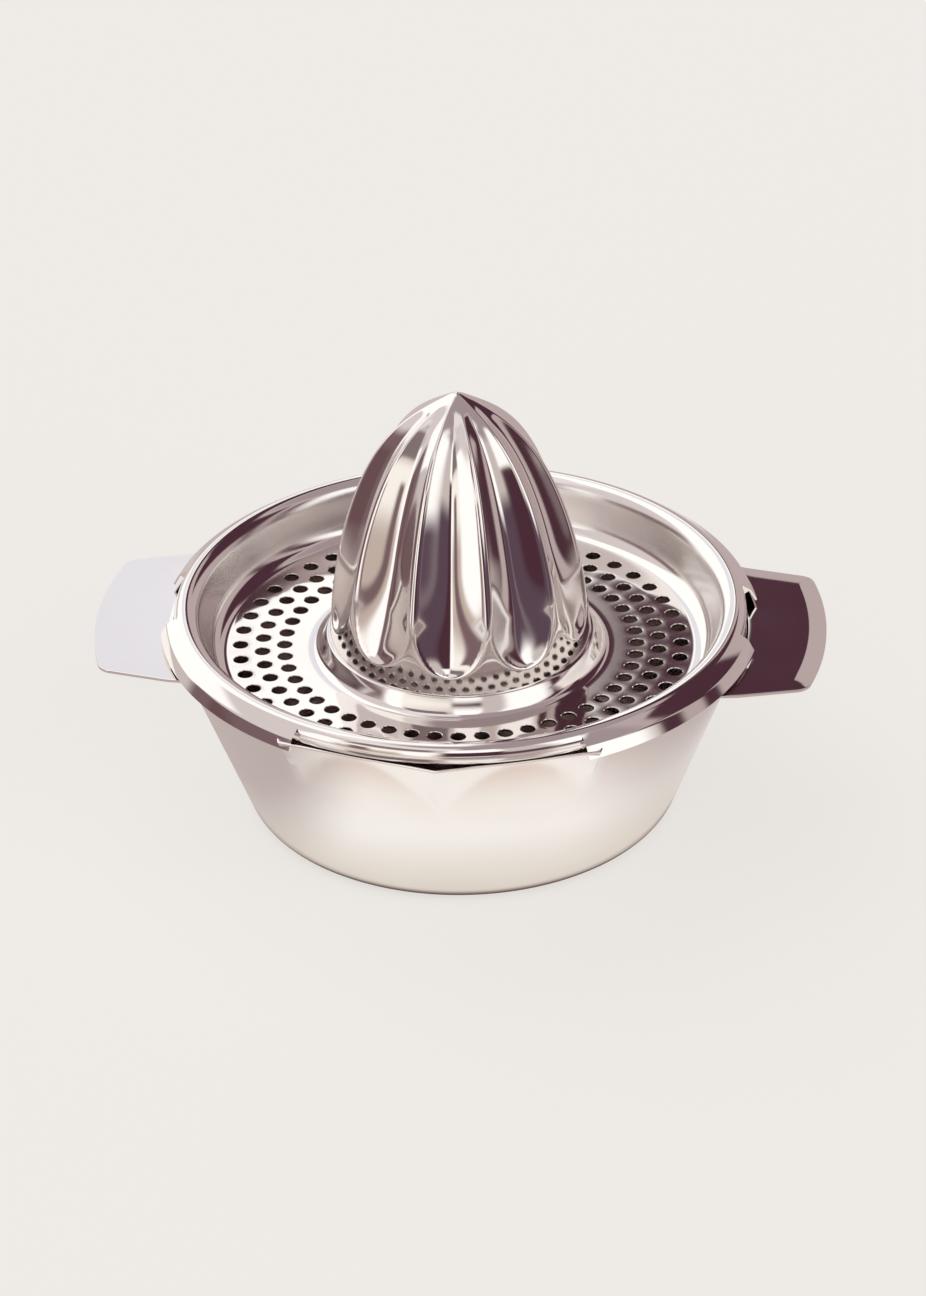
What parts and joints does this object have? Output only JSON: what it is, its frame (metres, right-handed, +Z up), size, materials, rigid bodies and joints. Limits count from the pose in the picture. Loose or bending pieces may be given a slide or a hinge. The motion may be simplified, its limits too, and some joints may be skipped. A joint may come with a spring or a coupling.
{
  "type": "citrus juicer",
  "caption": "Hand citrus juicer of pressed steel: a tapered bowl with a pouring beak and flat ears, under a lift-off perforated strainer tray with a fluted reamer cone.",
  "frame": {"origin": "centre of the bowl's flat bottom, on the table", "axes": "+Z up along the bowl's axis, -Y towards the pouring beak, X across the two ears"},
  "size_m": [0.1842, 0.1498, 0.1132],
  "materials": {
    "satin_steel": "satin stainless steel",
    "polished_steel": "mirror polished stainless steel"
  },
  "bodies": {
    "bowl": {"juice_bowl": "satin_steel", "left_handle": "polished_steel", "right_handle": "polished_steel"},
    "strainer": {"strainer_tray": "polished_steel", "reamer_cone": "polished_steel"}
  },
  "joints": [
    {"name": "strainer_lift", "type": "slide", "parent": "bowl", "child": "strainer", "axis": [0, 0, 1], "range_m": [0, 0.06]}
  ]
}
